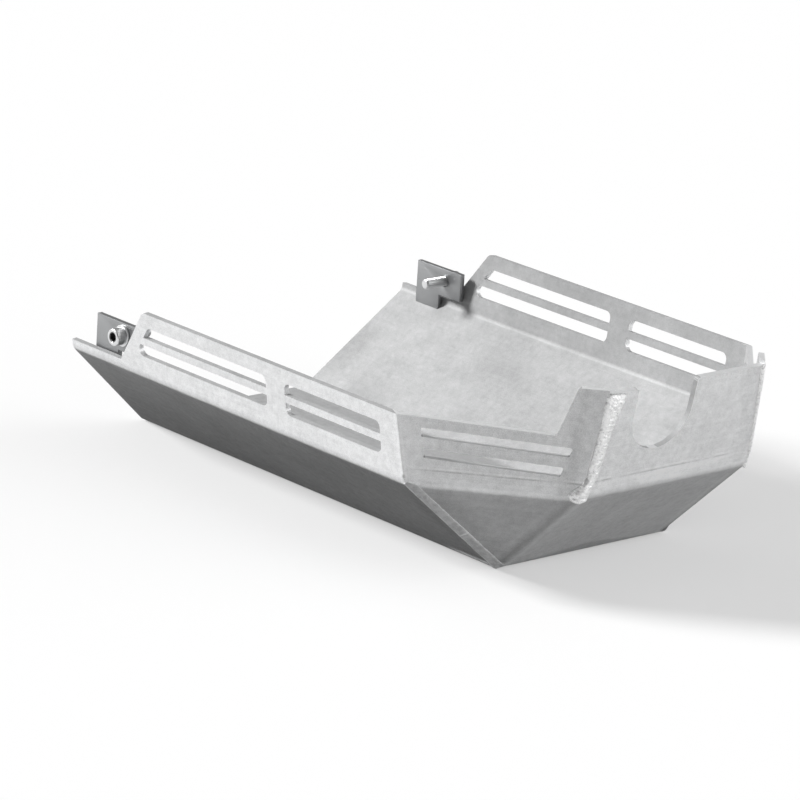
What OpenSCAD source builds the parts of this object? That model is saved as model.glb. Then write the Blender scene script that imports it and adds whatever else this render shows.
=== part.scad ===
// Motorcycle skid plate: one aluminium sheet, folded into a tray and welded along its corners.
// +X is forward, +Y is to the left and +Z is up. The origin is the middle of the flat underside.
// Sizes of a panel are measured on its outer face, from corner to corner as if no bend were rounded.

/* [Sheet] */
// Thickness of the aluminium sheet
sheet_t = 4; // [3:0.5:6]
// Outer radius of every fold
bend_r = 10; // [8:0.5:14]

/* [Tray] */
// Length of the flat floor, from its rear edge to the nose fold
floor_l = 398; // [330:1:460]
// Width of the flat floor between its two side folds
floor_w = 158; // [120:1:190]
// Height of the waist folds above the underside
waist_h = 73; // [55:1:95]
// Width of the tray at its waist folds
waist_w = 322; // [260:1:400]
// Length of each side along its waist fold
side_l = 372; // [320:1:420]
// How far the corner panels reach forward of the sides
corner_l = 87; // [60:1:120]
// Width of the front wall at its waist fold
nose_w = 160; // [130:1:200]
// How far the nose fold of the floor lies ahead of the front end of the sides
nose_step = 9.5; // [5:0.5:20]

/* [Side walls] */
// Height of a side wall, measured up the sheet from the waist fold
side_wall_h = 50; // [40:1:65]
// Lean of a side wall outward, in degrees
side_lean = 9; // [4:0.5:14]
// Height of the low strip behind the wall
strip_h = 6.2; // [4:0.2:10]
// Length of the low strip, from its rear end to the foot of the wall
strip_l = 58.5; // [50:0.5:75]
// How far the rear edge of the wall slants forward between its foot and its top
wall_rake = 30.5; // [15:0.5:45]
// Radius of the rear top corner of the wall
wall_corner_r = 6; // [2:0.5:10]

/* [Side windows] */
// Height of each slot of a side window
window_slot_h = 9; // [6:0.5:11]
// Height of the bar between the two slots of a window
window_bar_h = 5.6; // [4:0.2:9]
// Height of the lower edge of the windows above the waist fold
window_base = 15.7; // [12:0.2:20]
// Radius of the outer corners of a window
window_r = 5; // [2:0.5:6]
// Metal between the front window and the front end of the wall
window_front_gap = 22; // [14:0.5:30]
// Length of the front window
front_window_l = 102; // [70:1:110]
// Metal between the two windows
window_gap = 20.5; // [12:0.5:30]
// Metal between the rear window and the slanted rear edge, measured along the wall
window_rear_gap = 12.5; // [9:0.5:20]

/* [Corner panels] */
// How far the top edge of a corner wall drops before it meets the tab
corner_drop = 5.2; // [0:0.2:10]
// Lean of a corner wall outward, in degrees
corner_lean = 4; // [1:0.5:8]
// Distance along the waist fold from the side to the foot of the tab
tab_foot = 101; // [90:0.5:104]
// Height of the tab at the front end, measured up the sheet
tab_h = 79.8; // [70:0.2:90]
// Slant of the tab's rear edge, in degrees
tab_slant = 20; // [10:1:28]
// Radius of the top corner of the tab
tab_r = 2.5; // [1:0.5:5]
// Radius where an edge turns inward, at the foot of the tab and at the foot of the side wall
foot_r = 1.5; // [0.5:0.5:3]
// Height of each slot in a corner wall
corner_slot_h = 6.8; // [4:0.2:9]
// Radius of the corners of those slots
corner_slot_r = 1.8; // [1:0.2:2]
// Metal between the top edge and the upper slot
upper_slot_drop = 7.4; // [5:0.2:10]
// Metal between the two slots
corner_slot_gap = 8; // [5:0.2:10]
// Metal between the side and the rear ends of the slots
slot_rear_gap = 15; // [8:0.5:20]
// Metal between the front ends of the slots and the line of the tab's rear edge
slot_front_gap = 15; // [10:0.5:18]

/* [Front wall] */
// Height of the front wall, measured up the sheet
front_wall_h = 78; // [68:1:88]
// Lean of the front wall forward, in degrees
front_lean = 11; // [5:0.5:16]
// Width of the notch that clears the exhaust pipe
notch_w = 55; // [40:1:65]
// Distance of the notch to the right of the middle
notch_off = 17.5; // [5:0.5:22]
// Metal left under the notch, measured up from the waist fold
notch_base = 28.8; // [20:0.2:38]
// Radius of the two corners at the top of the notch
notch_corner_r = 2.5; // [1:0.5:5]

/* [Floor holes] */
// Diameter of the hole that gives access to the oil drain plug
drain_d = 36; // [24:1:50]
// Distance of the drain hole behind the middle of the floor
drain_back = 60; // [20:1:90]
// Diameter of the two front fixing holes
fixing_d = 8.5; // [6:0.5:11]
// Distance between the two front fixing holes
fixing_gap = 96; // [70:1:110]
// Distance of the fixing holes behind the nose fold
fixing_back = 32; // [24:1:50]

/* [Welds] */
// Radius of the raised bead between a corner wall and the front wall
bead_r = 5.4; // [4.6:0.1:6]
// How far the middle of that bead lies inside the face of the front wall
bead_sunk = 2.4; // [1:0.1:2.8]
// Distance of the bead's middle from the edge, on the front wall
bead_shift = 5.5; // [4:0.5:6]
// Height above the waist fold at which the bead has come over from the edge
bead_turn = 11; // [8:0.5:16]
// How much thicker the bead is where it turns
turn_swell = 0.4; // [0.2:0.1:0.8]
// Radius of the blobs at the two ends of the bead
blob_r = 6.2; // [5.8:0.1:7]
// Distance of the upper blob's middle below the top of the edge
blob_drop = 5; // [3:0.5:8]
// Radius of the low bead between a side and its corner panel
seam_r = 4; // [3.5:0.1:5]
// How far the middle of the low bead lies inside its edge
seam_sunk = 3.4; // [2.8:0.1:3.5]
// Height of the low bead's lower end above the underside
bead_lift = 0.5; // [0.2:0.1:2]

/* [Rear brackets] */
// Thickness of a bracket
bracket_t = 4; // [3:0.5:5]
// Length of a bracket
bracket_l = 50; // [40:1:60]
// Height of a bracket above the waist fold
bracket_h = 31; // [27:0.5:38]
// Distance of a bracket ahead of the rear end of the strip
bracket_front = 22; // [14:0.5:30]
// Length of the relief cut in the lower front corner of a bracket
relief_l = 24; // [15:0.5:30]
// Height of the top of the relief cut above the waist fold
relief_h = 9.5; // [7:0.5:11]
// Distance of the screw behind the front end of a bracket
screw_back = 19; // [15:0.5:24]
// Height of the screw above the waist fold
screw_h = 21.5; // [19:0.5:23]
// Gap between the bracket's outer face and the sheet at the waist fold
bracket_gap = 0.4; // [0.2:0.1:1]

/* [Screws] */
// Diameter of the screw's shank
screw_d = 8; // [6:0.5:8]
// Length of the shank under the head
screw_l = 25; // [20:1:35]
// Diameter of the screw's head
head_d = 13; // [11:0.5:14]
// Height of the screw's head
head_h = 8; // [6:0.5:9]
// Width of the hexagon socket across its flats
socket_w = 6; // [5:0.5:7]
// Depth of the hexagon socket
socket_depth = 4; // [3:0.5:5]
// Chamfer on the rim of the head and on the tip of the shank
screw_chamfer = 0.6; // [0.3:0.1:1]
// Diameter of the washer
washer_d = 16; // [15:0.5:18]
// Thickness of the washer
washer_t = 1.6; // [1:0.1:2.5]
// Gap between the shank and the edge of a hole that it passes
hole_clear = 0.25; // [0.1:0.05:0.5]

/* [Hidden] */
$fn = 96;

aluminium = "#c9cccf";
bead_colour = "#dcdfe1";
bracket_colour = "#8f9396";
screw_colour = "#b4b7ba";

// Half widths at the waist, at the nose and at the floor
waist_y = waist_w / 2;
nose_y = nose_w / 2;
floor_y = floor_w / 2;

// Stations along X: the two ends of the floor, the side and corner joint, the front waist fold, the rear end
nose_x = floor_l / 2;
tail_x = -floor_l / 2;
joint_x = nose_x - nose_step;
front_x = joint_x + corner_l;
rear_x = joint_x - side_l;

// Height to which every wall is made before its top edge is cut, and the reach of the cutting shapes
wall_spare = 10;
wall_reach = max(tab_h, front_wall_h) + wall_spare;
far = 900;
cut = 12;

// How far the trim of a side runs past its front end
seam_over = 1;

// How far a round stands proud of the straight edges that it joins, so that they meet at a clean point
proud = 0.01;

// The turn of a corner panel from the X axis, its direction outward, and the distances of its fold and foot
corner_turn = atan2(waist_y - nose_y, corner_l);
corner_out = [sin(corner_turn), cos(corner_turn)];
corner_dist = [joint_x, waist_y] * corner_out;
corner_foot = [nose_x, floor_y] * corner_out;
corner_run = norm([corner_l, waist_y - nose_y]);

// Outward normals of the panels on the left, for the welds and the folds between them
side_normal = [0, cos(side_lean), -sin(side_lean)];
front_normal = [cos(front_lean), 0, -sin(front_lean)];
corner_normal = [corner_out.x * cos(corner_lean), corner_out.y * cos(corner_lean), -sin(corner_lean)];
nose_normal = unit([waist_h, 0, nose_x - front_x]);
flank_normal = unit([0, waist_h, floor_y - waist_y]);
gusset_normal = unit([corner_out.x * waist_h, corner_out.y * waist_h, corner_foot - corner_dist]);

// How far the seams at the two ends of a corner wall move along it for each unit of height
joint_slope = tan(corner_lean) / tan(corner_turn) - tan(side_lean) / sin(corner_turn);
joint_slope_x = (tan(corner_lean) - tan(side_lean) * cos(corner_turn)) / sin(corner_turn);
nose_slope_y = (tan(front_lean) * sin(corner_turn) - tan(corner_lean)) / cos(corner_turn);

// Top of the walls above the waist, where the side meets the corner and where the front wall ends
joint_top = side_wall_h * cos(side_lean);
front_top = front_wall_h * cos(front_lean);
corner_wall_h = joint_top / cos(corner_lean);
foot_h = corner_wall_h - corner_drop;

// The corners of the tray on the left: its two waist corners, the wall tops over them, the floor corner
joint_corner = [joint_x, waist_y, waist_h];
nose_corner = [front_x, nose_y, waist_h];
joint_peak = joint_corner + joint_top * [joint_slope_x, tan(side_lean), 1];
nose_peak = nose_corner + front_top * [tan(front_lean), -nose_slope_y, 1];
floor_corner = [nose_x, floor_y, 0];

// The rear brackets and their screws
bracket_x = rear_x + bracket_front;
bracket_y = waist_y - sheet_t - bracket_gap;
screw_x = bracket_x + bracket_l - screw_back;
screw_z = waist_h + screw_h;
hole_d = screw_d + 2 * hole_clear;

// Unit vector along v, and the vector to the left of v in a drawing
function unit(v) = v / norm(v);
function left_of(v) = [-v.y, v.x];

// Corner i of an outline drawn anticlockwise, moved inward by d from both of its edges
function turn_in(pts, i, d) =
    let (n = len(pts), here = pts[i],
         in_a = left_of(unit(here - pts[(i + n - 1) % n])), in_b = left_of(unit(pts[(i + 1) % n] - here)))
    here + d * (in_a + in_b) / (1 + in_a * in_b);
function inset(pts, d) = [for (i = [0 : len(pts) - 1]) turn_in(pts, i, d)];

// The two points where an arc of radius r touches the edges beside corner i
function touch(pts, i, r) =
    let (n = len(pts), here = pts[i], mid = turn_in(pts, i, r),
         in_a = left_of(unit(here - pts[(i + n - 1) % n])), in_b = left_of(unit(pts[(i + 1) % n] - here)))
    [mid - r * in_a, mid - r * in_b];

// An outline drawn anticlockwise, with a radius for each of its corners. The radius of a corner that points
// inward is negative, and its round is cut away instead of added.
module rounded(pts, radii) {
    difference() {
        polygon([for (i = [0 : len(pts) - 1]) each radii[i] == 0 ? [pts[i]] : touch(pts, i, radii[i])]);
        corner_rounds(pts, radii, -1);
    }
    corner_rounds(pts, radii, 1);
}
module corner_rounds(pts, radii, side) {
    for (i = [0 : len(pts) - 1]) if (side * radii[i] > 0)
        translate(turn_in(pts, i, radii[i])) circle(r = side * radii[i] + proud);
}

// Sections of the closed tray, each lying d inside the outer face and over longer at its open ends
module side_section(d, over) {
    top = waist_h + wall_reach + over;
    top_y = waist_y + (top - waist_h) * tan(side_lean);
    pts = [[-floor_y, 0], [floor_y, 0], [waist_y, waist_h], [top_y, top], [-top_y, top], [-waist_y, waist_h]];
    rounded(inset(pts, d), [bend_r - d, bend_r - d, bend_r - d, 0, 0, bend_r - d]);
}
module front_section(d, over) {
    top = waist_h + wall_reach + over;
    back = tail_x - over;
    pts = [[back, 0], [nose_x, 0], [front_x, waist_h], [front_x + (top - waist_h) * tan(front_lean), top],
        [back, top]];
    rounded(inset(pts, d), [0, bend_r - d, bend_r - d, 0, 0]);
}
module corner_section(d, over) {
    top = waist_h + wall_reach + over;
    pts = [[-far, 0], [corner_foot, 0], [corner_dist, waist_h],
        [corner_dist + (top - waist_h) * tan(corner_lean), top], [-far, top]];
    rounded(inset(pts, d), [0, 0, bend_r - d, 0, 0]);
}

// A frame whose Z runs along a fold between two panels and whose Y points into the tray
module on_fold(start, end, normal_a, normal_b) {
    along = unit(end - start);
    inward = -unit(normal_a + normal_b);
    side = cross(inward, along);
    multmatrix([for (i = [0 : 2]) [side[i], inward[i], along[i], start[i]]]) children();
}

// What lies inside the press fold between the nose and a corner panel: a round of the fold's radius, with
// everything behind it
module fold_section(d) {
    half = 90 - acos(nose_normal * gusset_normal) / 2;
    mid = bend_r / sin(half);
    r = bend_r - d;
    translate([0, mid]) circle(r = r + proud);
    translate([-far, mid - r * sin(half)]) square(2 * far);
}

module both_sides() {
    children();
    mirror([0, 1, 0]) children();
}

// A long body whose section is drawn in the upright plane that faces the left corner panel
module corner_block(d, over) {
    rotate([0, 0, 90 - corner_turn]) rotate([90, 0, 0])
        linear_extrude(2 * far, center = true) corner_section(d, over);
}
module fold_block(d) {
    on_fold(nose_corner, floor_corner, nose_normal, gusset_normal)
        linear_extrude(2 * far, center = true) fold_section(d);
}

// The tray as a closed body, d inside the outer face of the sheet
module tray_body(d, over) {
    intersection() {
        rotate([90, 0, 90]) linear_extrude(2 * far, center = true) side_section(d, over);
        rotate([90, 0, 0]) linear_extrude(2 * far, center = true) front_section(d, over);
        corner_block(d, over);
        mirror([0, 1, 0]) corner_block(d, over);
        fold_block(d);
        mirror([0, 1, 0]) fold_block(d);
    }
}

// Drawings on the outer faces: X runs forward (or to the left on the front wall), Y runs up the sheet
module on_side() {
    translate(joint_corner) rotate([90 - side_lean, 0, 0]) children();
}
module on_corner() {
    translate(joint_corner) rotate([0, 0, -corner_turn]) rotate([90 - corner_lean, 0, 0]) children();
}
module on_front() {
    translate([front_x, 0, waist_h]) rotate([0, 0, 90]) rotate([90 + front_lean, 0, 0]) children();
}
module through() {
    linear_extrude(2 * cut, center = true) children();
}

// How far forward the wall's slanted rear edge lies at height h up the sheet
wall_foot = strip_l - side_l;
function wall_edge(h) = wall_foot + wall_rake * (h - strip_h) / (side_wall_h - strip_h);

// Side wall: the low strip, the slanted rear edge and the long top edge
module side_outline() {
    pts = [[-side_l - 2 * cut, -cut], [cut, -cut], [cut, side_wall_h], [wall_edge(side_wall_h), side_wall_h],
        [wall_foot, strip_h], [-side_l - 2 * cut, strip_h]];
    rounded(pts, [0, 0, 0, wall_corner_r, -foot_r, 0]);
}
module side_trim() {
    difference() {
        translate([-side_l - cut, 0]) square([side_l + cut + seam_over, far]);
        side_outline();
    }
}

// Side windows: each is one rounded opening that a bar divides into two slots
window_h = 2 * window_slot_h + window_bar_h;
window_top = window_base + window_h;
front_window_x = -window_front_gap - front_window_l;
rear_window_x = front_window_x - window_gap;
module side_windows() {
    corners = window_r * [1, 1, 1, 1];
    difference() {
        union() {
            rounded([[front_window_x, window_base], [-window_front_gap, window_base],
                [-window_front_gap, window_top], [front_window_x, window_top]], corners);
            rounded([[wall_edge(window_base) + window_rear_gap, window_base], [rear_window_x, window_base],
                [rear_window_x, window_top], [wall_edge(window_top) + window_rear_gap, window_top]], corners);
        }
        translate([-side_l, window_base + window_slot_h]) square([side_l, window_bar_h]);
    }
}

// Corner wall: a top edge that drops forward, then the tab
function corner_top(x) = corner_wall_h - corner_drop * x / tab_foot;
function tab_edge(h) = tab_foot + (h - foot_h) * tan(tab_slant);
module corner_outline() {
    pts = [[-2 * cut, -cut], [2 * corner_run, -cut], [2 * corner_run, tab_h], [tab_edge(tab_h), tab_h],
        [tab_foot, foot_h], [0, corner_wall_h], [-2 * cut, corner_wall_h]];
    rounded(pts, [0, 0, 0, tab_r, -foot_r, 0, 0]);
}
module corner_trim() {
    difference() {
        translate([-cut, 0]) square([corner_run + 3 * cut, far]);
        corner_outline();
    }
}

// A point on the line that lies drop below the top edge, where it crosses one of the slots' end lines
fall = corner_drop / tab_foot;
function slot_rear(drop) = slot_rear_point(corner_wall_h - drop);
function slot_rear_point(h) = (slot_rear_gap + joint_slope * h) / (1 + joint_slope * fall);
function slot_front(drop) =
    (tab_edge(corner_wall_h - drop) + slot_front_gap) / (1 + fall * tan(tab_slant));
function slot_point(x, drop) = [x, corner_top(x) - drop];
module corner_slot(drop) {
    low = drop + corner_slot_h;
    rounded([slot_point(slot_rear(low), low), slot_point(slot_front(low), low),
        slot_point(slot_front(drop), drop), slot_point(slot_rear(drop), drop)], corner_slot_r * [1, 1, 1, 1]);
}
module corner_slots() {
    corner_slot(upper_slot_drop);
    corner_slot(upper_slot_drop + corner_slot_h + corner_slot_gap);
}

// Front wall: a level top edge, and the round-bottomed notch for the exhaust pipe
module front_outline() {
    end = nose_peak.y + cut;
    mid = notch_base + notch_w / 2;
    right = -notch_off - notch_w / 2;
    left = notch_w / 2 - notch_off;
    difference() {
        rounded([[-end, -cut], [end, -cut], [end, front_wall_h], [left, front_wall_h], [left, mid],
            [right, mid], [right, front_wall_h], [-end, front_wall_h]],
            [0, 0, 0, notch_corner_r, 0, 0, notch_corner_r, 0]);
        translate([-notch_off, mid]) circle(d = notch_w);
    }
}
module front_trim() {
    difference() {
        translate([-nose_peak.y, 0]) square([2 * nose_peak.y, far]);
        front_outline();
    }
}

// What lies behind the raked rear edge of the tray
module tail_trim() {
    pts = [[-far, -cut], [tail_x, -cut], [tail_x, 0], [rear_x, waist_h], [rear_x, far], [-far, far]];
    rotate([90, 0, 0]) linear_extrude(2 * far, center = true) polygon(pts);
}

module floor_holes() {
    translate([-drain_back, 0, -cut]) cylinder(h = 2 * cut, d = drain_d);
    for (s = [-1, 1]) translate([nose_x - fixing_back, s * fixing_gap / 2, -cut])
        cylinder(h = 2 * cut, d = fixing_d);
}

module skid_shell() {
    color(aluminium) difference() {
        tray_body(0, 0);
        tray_body(sheet_t, cut);
        tail_trim();
        both_sides() {
            on_side() through() side_trim();
            on_side() through() side_windows();
            on_corner() through() corner_trim();
            on_corner() through() corner_slots();
        }
        on_front() through() front_trim();
        floor_holes();
    }
}

// A round rod from one point to another
module rod(a, b, r) {
    along = b - a;
    translate(a) rotate([0, acos(along.z / norm(along)), atan2(along.y, along.x)])
        cylinder(h = norm(along), r = r);
}
module ball(at, r) {
    translate(at) sphere(r = r);
}

// The heavy bead beside the edge between a corner wall and the front wall, on the left. It starts on the waist
// corner, comes over onto the front wall and runs up beside the edge.
module nose_weld() {
    up = unit(nose_peak - nose_corner);
    beside = [0, -bead_shift, 0] - bead_sunk * front_normal;
    foot = nose_corner - bead_sunk * unit(front_normal + corner_normal);
    low = nose_corner + bead_turn * up + beside;
    high = nose_peak + beside;
    color(bead_colour) difference() {
        union() {
            rod(foot, low, bead_r);
            ball(low, bead_r + turn_swell);
            rod(low, high, bead_r);
            ball(foot, blob_r);
            ball(high - blob_drop * up, blob_r);
        }
        tray_body(0, 0);
        translate([0, 0, waist_h + front_top]) linear_extrude(far) square(2 * far, center = true);
    }
}

// The low dressed bead down the edges between a side and its corner panel, on the left
module corner_weld() {
    upper = -seam_sunk * unit(side_normal + corner_normal);
    lower = -seam_sunk * unit(flank_normal + gusset_normal);
    color(bead_colour) difference() {
        union() {
            rod(joint_peak + upper, joint_corner + upper, seam_r);
            ball(joint_corner + (upper + lower) / 2, seam_r);
            rod(joint_corner + lower, floor_corner + lower, seam_r);
        }
        tray_body(0, 0);
        translate([0, 0, waist_h + joint_top]) linear_extrude(far) square(2 * far, center = true);
        translate([0, 0, -far + bead_lift]) linear_extrude(far) square(2 * far, center = true);
    }
}

// The upright plate behind the low strip, on the left, bevelled to sit on the inner face of the side
module rear_bracket() {
    color(bracket_colour) difference() {
        intersection() {
            translate([bracket_x, bracket_y - bracket_t, 0])
                cube([bracket_l, bracket_t, waist_h + bracket_h]);
            tray_body(sheet_t, 0);
        }
        translate([bracket_x + bracket_l - relief_l, bracket_y - cut, 0])
            cube([relief_l + cut, 2 * cut, waist_h + relief_h]);
        translate([screw_x, bracket_y - cut, screw_z]) rotate([-90, 0, 0])
            cylinder(h = 2 * cut, d = hole_d);
    }
}

// Screws and washers, drawn along Z with the washer's seat at zero
module on_bracket() {
    translate([screw_x, bracket_y, screw_z]) rotate([-90, 0, 0]) children();
}
module washer() {
    color(screw_colour) difference() {
        cylinder(h = washer_t, d = washer_d);
        translate([0, 0, -cut]) cylinder(h = 2 * cut, d = hole_d);
    }
}
module screw() {
    c = screw_chamfer;
    color(screw_colour) translate([0, 0, washer_t]) difference() {
        rotate_extrude() polygon([[0, -screw_l], [screw_d / 2 - c, -screw_l], [screw_d / 2, c - screw_l],
            [screw_d / 2, 0], [head_d / 2, 0], [head_d / 2, head_h - c], [head_d / 2 - c, head_h],
            [0, head_h]]);
        translate([0, 0, head_h - socket_depth])
            cylinder(h = 2 * socket_depth, d = socket_w / cos(30), $fn = 6);
    }
}

module on_right() {
    mirror([0, 1, 0]) children();
}

skid_shell();
on_right() nose_weld();  // nose_weld_right
nose_weld();  // nose_weld_left
on_right() corner_weld();  // corner_weld_right
corner_weld();  // corner_weld_left
on_right() rear_bracket();  // rear_bracket_right
rear_bracket();  // rear_bracket_left
on_right() on_bracket() washer();  // bracket_washer_right
on_bracket() washer();  // bracket_washer_left
on_right() on_bracket() screw();  // bracket_screw_right
on_bracket() screw();  // bracket_screw_left
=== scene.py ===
"""Looks of a motorcycle skid plate: a folded, welded aluminium sheet with two screwed rear brackets."""

import math

import bmesh
import bpy
from bpy.props import FloatProperty, FloatVectorProperty, IntProperty, PointerProperty
from mathutils import Matrix, Vector, noise


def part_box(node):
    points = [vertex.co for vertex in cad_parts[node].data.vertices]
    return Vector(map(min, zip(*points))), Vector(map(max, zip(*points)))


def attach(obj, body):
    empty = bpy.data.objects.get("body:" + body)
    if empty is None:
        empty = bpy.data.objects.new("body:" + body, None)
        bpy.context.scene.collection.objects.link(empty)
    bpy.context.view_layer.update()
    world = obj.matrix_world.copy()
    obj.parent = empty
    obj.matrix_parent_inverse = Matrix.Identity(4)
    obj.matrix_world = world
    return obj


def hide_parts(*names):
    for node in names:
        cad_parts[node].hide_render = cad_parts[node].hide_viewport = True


bl_info = {
    "name": "Skid Plate Looks",
    "version": (1, 0, 0),
    "blender": (4, 5, 0),
    "location": "View3D > Sidebar > Skid Plate",
    "description": "Dresses the skid plate with eased edges, welds, screws and finishes",
    "category": "Object",
}

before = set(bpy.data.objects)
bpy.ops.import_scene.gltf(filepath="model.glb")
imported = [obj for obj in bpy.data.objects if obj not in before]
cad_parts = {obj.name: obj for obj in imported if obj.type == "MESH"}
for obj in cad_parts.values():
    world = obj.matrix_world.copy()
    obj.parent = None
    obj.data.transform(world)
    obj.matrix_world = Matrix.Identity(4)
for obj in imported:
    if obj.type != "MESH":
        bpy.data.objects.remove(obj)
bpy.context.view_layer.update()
SIDES = (("right", -1.0), ("left", 1.0))
OUTER, CUT, INNER = 0, 1, 2  # the sheet's material slots
WRAP = 0.0008  # how softly a bead turns from wall to wall
EASE_STEPS = 2
BEAD_SIDES, SEAM_SIDES, SCREW_SIDES = 44, 32, 192  # points round each ring
SEAM_RINGS, THREAD_RINGS = 120, 176
CRISP = math.radians(32)  # edges that turn by more than this stay crisp


# ---- small sums

def held(value):
    """The value held between 0 and 1."""
    return min(1.0, max(0.0, value))


def soft_step(share):
    """From 0 to 1, slow at both ends."""
    return share * share * (3 - 2 * share)


def hump(value, centre, reach):
    """1 at the centre, falling away on both sides."""
    return math.exp(-((value - centre) / reach) ** 2)


def lumpy(x, y, z):
    """Noise from -1 to 1 at a point."""
    return noise.noise(Vector((x, y, z)))


# ---- the tray's own lines

def tray_points(side):
    """The corners of the tray on one side, on its outer face. side is -1 on the right and 1 on the left."""
    tray = bpy.context.scene.skid_tray
    lean_side, lean_front = math.tan(tray.side_lean), math.tan(tray.front_lean)
    lean_corner = math.tan(tray.corner_lean)
    joint = Vector((tray.joint_x, tray.waist_y, tray.waist_z))
    nose = Vector((tray.front_x, tray.nose_y, tray.waist_z))
    run = nose - joint
    turn = math.atan2(-run.y, run.x)
    joint_slope_x = (lean_corner - lean_side * math.cos(turn)) / math.sin(turn)
    nose_slope_y = (lean_front * math.sin(turn) - lean_corner) / math.cos(turn)
    joint_rise = tray.side_wall * math.cos(tray.side_lean)
    front_rise = tray.front_wall * math.cos(tray.front_lean)
    points = {
        "joint": joint,
        "nose": nose,
        "joint_peak": joint + joint_rise * Vector((joint_slope_x, lean_side, 1)),
        "nose_peak": nose + front_rise * Vector((lean_front, -nose_slope_y, 1)),
        "floor": Vector((tray.floor_x, tray.floor_y, 0)),
    }
    return {name: Vector((p.x, side * p.y, p.z)) for name, p in points.items()}


def panel_normals(side):
    """Outward normals of the seven kinds of panel, those beside the middle on the given side."""
    tray = bpy.context.scene.skid_tray
    at = tray_points(1.0)
    run = at["nose"] - at["joint"]
    turn = math.atan2(-run.y, run.x)
    out = Vector((math.sin(turn), math.cos(turn), 0))
    spread = at["floor"].dot(out) - at["joint"].dot(out)
    lean = tray.corner_lean
    normals = {
        "floor": Vector((0, 0, -1)),
        "side": Vector((0, math.cos(tray.side_lean), -math.sin(tray.side_lean))),
        "front": Vector((math.cos(tray.front_lean), 0, -math.sin(tray.front_lean))),
        "corner": out * math.cos(lean) + Vector((0, 0, -math.sin(lean))),
        "flank": Vector((0, tray.waist_z, tray.floor_y - tray.waist_y)).normalized(),
        "nose": Vector((tray.waist_z, 0, tray.floor_x - tray.front_x)).normalized(),
        "gusset": (out * tray.waist_z + Vector((0, 0, spread))).normalized(),
    }
    return {name: Vector((n.x, side * n.y, n.z)) for name, n in normals.items()}


def beside_joint(side, rise, across, soft=WRAP):
    """A point on the outside beside the joint of corner and front wall, and the way out of the sheet there. rise is
    up the joint from the waist. across is over the front wall, or over the corner wall where it is negative. soft
    rounds the way from wall to wall."""
    at, face = tray_points(side), panel_normals(side)
    up = (at["nose_peak"] - at["nose"]).normalized()
    over = up.cross(face["front"]).normalized() * -side
    back = up.cross(face["corner"]).normalized() * side
    reach = math.hypot(across, soft)
    turned = soft_step(held(0.5 + across / (0.005 + 2 * soft)))
    out = face["corner"].lerp(face["front"], turned).normalized()
    return at["nose"] + up * rise + over * (reach + across) / 2 + back * (reach - across) / 2, out


# ---- shader maths

class Wire:
    """An output of a shader node. Sums with it add Math nodes to the same finish."""

    def __init__(self, finish, socket):
        self.finish, self.socket = finish, socket

    def maths(self, operation, *values):
        """One Math node."""
        return self.finish.node("ShaderNodeMath", {"operation": operation}, *values)

    def __add__(self, other):
        return self.maths("ADD", self, other)

    def __sub__(self, other):
        return self.maths("SUBTRACT", self, other)

    def __rsub__(self, other):
        return self.maths("SUBTRACT", other, self)

    def __mul__(self, other):
        return self.maths("MULTIPLY", self, other)

    __radd__, __rmul__ = __add__, __mul__

    def size(self):
        """The value without its sign."""
        return self.maths("ABSOLUTE", self)

    def lower(self, other):
        """The lower of two values."""
        return self.maths("MINIMUM", self, other)

    def about(self, swing):
        """Noise from 0 to 1 turned into a swing about 0."""
        return (self - 0.5) * swing


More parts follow.
